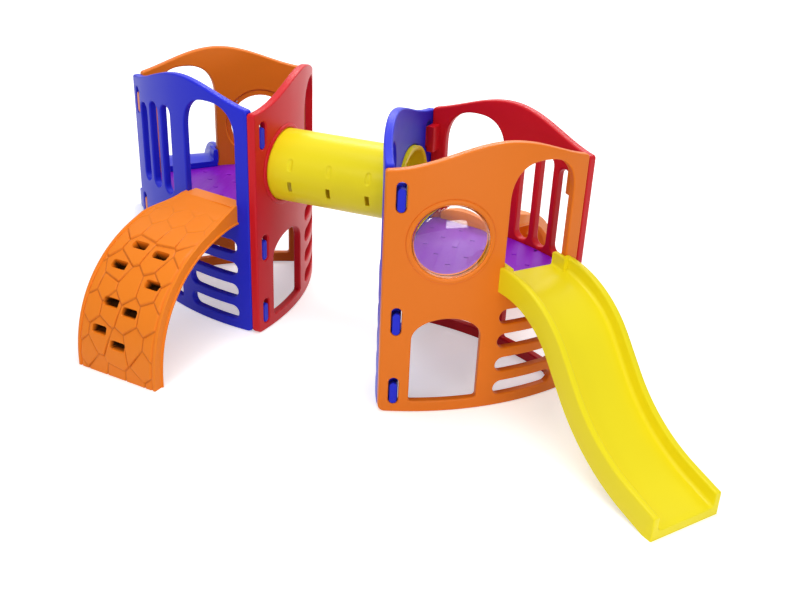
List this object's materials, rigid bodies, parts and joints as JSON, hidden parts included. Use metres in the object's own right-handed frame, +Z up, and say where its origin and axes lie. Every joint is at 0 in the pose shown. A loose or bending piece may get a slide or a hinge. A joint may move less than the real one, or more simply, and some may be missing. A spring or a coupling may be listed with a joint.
{
  "type": "modular climbing frame",
  "caption": "Toddler climbing frame: bowed-panel towers joined by a crawl tunnel, with wave slides and arched climbing ramps hung in their doorways.",
  "frame": {"origin": "on the floor at the middle of the footprint", "axes": "+X along the tunnel from the left tower to the right tower, +Z up"},
  "size_m": [4.0922, 2.3984, 1.333],
  "materials": {
    "blue": "smooth gloss",
    "red": "smooth gloss",
    "orange": "smooth gloss",
    "ramp_orange": "smooth, slightly softer gloss",
    "yellow": "smooth gloss",
    "purple": "smooth gloss with long shallow marks",
    "clear_dome": "clear plastic bubble",
    "steel": "zinc-plated screws and pins"
  },
  "bodies": {
    "frame": {"crawl_tunnel": "yellow", "left_bars_panel": "blue", "left_dome_clamp_ring": "orange", "left_dome_screw_1": "steel", "left_dome_screw_2": "steel", "left_dome_screw_3": "steel", "left_dome_screw_4": "steel", "left_platform": "purple", "left_platform_screw_1": "steel", "left_platform_screw_2": "steel", "left_platform_screw_3": "steel", "left_tunnel_panel": "red", "left_tunnel_pin_1": "steel", "left_tunnel_pin_2": "steel", "left_tunnel_pin_3": "steel", "left_tunnel_ring": "yellow", "left_window_dome": "clear_dome", "left_window_panel": "orange", "right_bars_panel": "red", "right_dome_clamp_ring": "orange", "right_dome_screw_1": "steel", "right_dome_screw_2": "steel", "right_dome_screw_3": "steel", "right_dome_screw_4": "steel", "right_platform": "purple", "right_platform_screw_1": "steel", "right_platform_screw_2": "steel", "right_platform_screw_3": "steel", "right_tunnel_panel": "blue", "right_tunnel_pin_1": "steel", "right_tunnel_pin_2": "steel", "right_tunnel_pin_3": "steel", "right_tunnel_ring": "yellow", "right_window_dome": "clear_dome", "right_window_panel": "orange"},
    "left_ramp": {"left_climbing_ramp": "ramp_orange"},
    "left_slide": {"left_wave_slide": "blue"},
    "right_ramp": {"right_climbing_ramp": "ramp_orange"},
    "right_slide": {"right_wave_slide": "yellow"}
  },
  "joints": [
    {"name": "left_ramp_lift_off", "type": "slide", "parent": "frame", "child": "left_ramp", "axis": [0, 0, 1], "range_m": [0, 0.03]},
    {"name": "left_slide_lift_off", "type": "slide", "parent": "frame", "child": "left_slide", "axis": [0, 0, 1], "range_m": [0, 0.03]},
    {"name": "right_ramp_lift_off", "type": "slide", "parent": "frame", "child": "right_ramp", "axis": [0, 0, 1], "range_m": [0, 0.03]},
    {"name": "right_slide_lift_off", "type": "slide", "parent": "frame", "child": "right_slide", "axis": [0, 0, 1], "range_m": [0, 0.03]}
  ]
}
